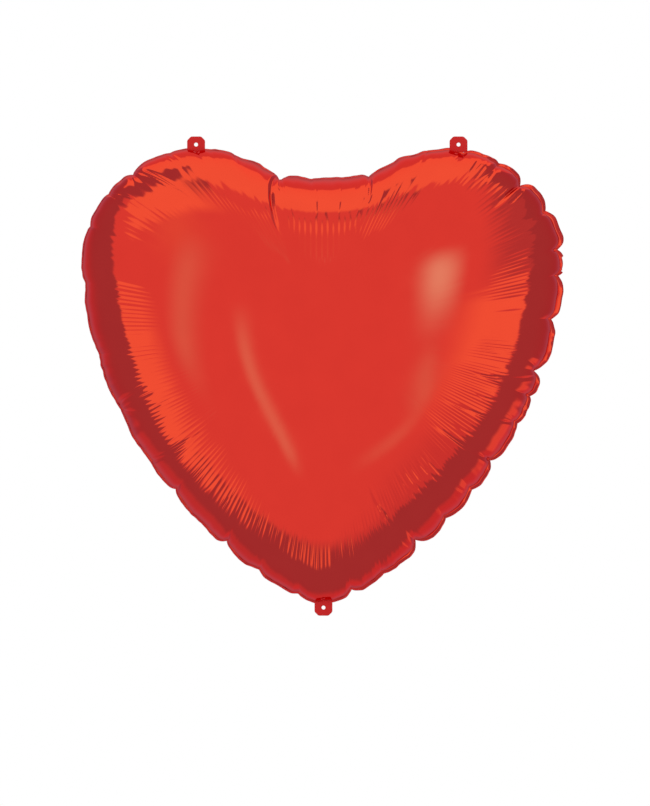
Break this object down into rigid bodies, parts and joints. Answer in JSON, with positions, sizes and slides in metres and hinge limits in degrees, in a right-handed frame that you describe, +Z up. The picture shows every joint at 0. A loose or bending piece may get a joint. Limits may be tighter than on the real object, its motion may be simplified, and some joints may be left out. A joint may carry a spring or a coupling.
{
  "type": "heart foil balloon",
  "caption": "Inflated heart-shaped foil balloon: two sealed domed films, punched hanging tabs on the rim and a folded inflation neck with a self-closing valve.",
  "frame": {"origin": "centre of the lower hanging tab's punched hole, on the plane of the edge seal", "axes": "+Z up along the heart's centre line from the tip to the cleft, the front film faces -Y, +X to the right seen from the front"},
  "size_m": [0.4079, 0.1684, 0.4069],
  "materials": {
    "red_film": "metallised red foil film",
    "tab_film": "fused foil film, duller red",
    "clear_film": "clear valve film"
  },
  "bodies": {
    "envelope": {"front_film": "red_film", "back_film": "red_film", "edge_seal": "red_film"},
    "upper_left_tab": {"tab_upper_left": "tab_film"},
    "upper_right_tab": {"tab_upper_right": "tab_film"},
    "lower_tab": {"tab_lower": "tab_film"},
    "neck": {"neck_film_front": "red_film", "neck_film_back": "red_film", "neck_side_seal_upper": "red_film", "neck_side_seal_lower": "red_film", "valve_film_front": "clear_film", "valve_film_back": "clear_film"},
    "front_lip": {"valve_lip_front": "clear_film"},
    "back_lip": {"valve_lip_back": "clear_film"}
  },
  "joints": [
    {"name": "upper_left_tab_bend", "type": "hinge", "parent": "envelope", "child": "upper_left_tab", "pos_m": [-0.10816, 0, 0.38921], "axis": [1, 0, 0], "range_deg": [-90, 90], "stiffness_Nm_per_rad": 0.0001},
    {"name": "upper_right_tab_bend", "type": "hinge", "parent": "envelope", "child": "upper_right_tab", "pos_m": [0.11466, 0, 0.38921], "axis": [1, 0, 0], "range_deg": [-90, 90], "stiffness_Nm_per_rad": 0.0001},
    {"name": "lower_tab_bend", "type": "hinge", "parent": "envelope", "child": "lower_tab", "pos_m": [0, 0, 0.0045], "axis": [1, 0, 0], "range_deg": [-90, 90], "stiffness_Nm_per_rad": 0.0001},
    {"name": "neck_fold", "type": "hinge", "parent": "envelope", "child": "neck", "pos_m": [0.20295, 0, 0.2924], "axis": [0, 0, -1], "range_deg": [0, 200]},
    {"name": "front_lip_open", "type": "hinge", "parent": "envelope", "child": "front_lip", "pos_m": [0.1975, -0.0003, 0.2924], "axis": [0, 0, 1], "range_deg": [0, 10]},
    {"name": "back_lip_open", "type": "hinge", "parent": "envelope", "child": "back_lip", "pos_m": [0.1975, 0.0003, 0.2924], "axis": [0, 0, 1], "range_deg": [-10, 0]}
  ],
  "couplings": [
    {"joint": "back_lip_open", "follows": "front_lip_open", "ratio": -1}
  ]
}
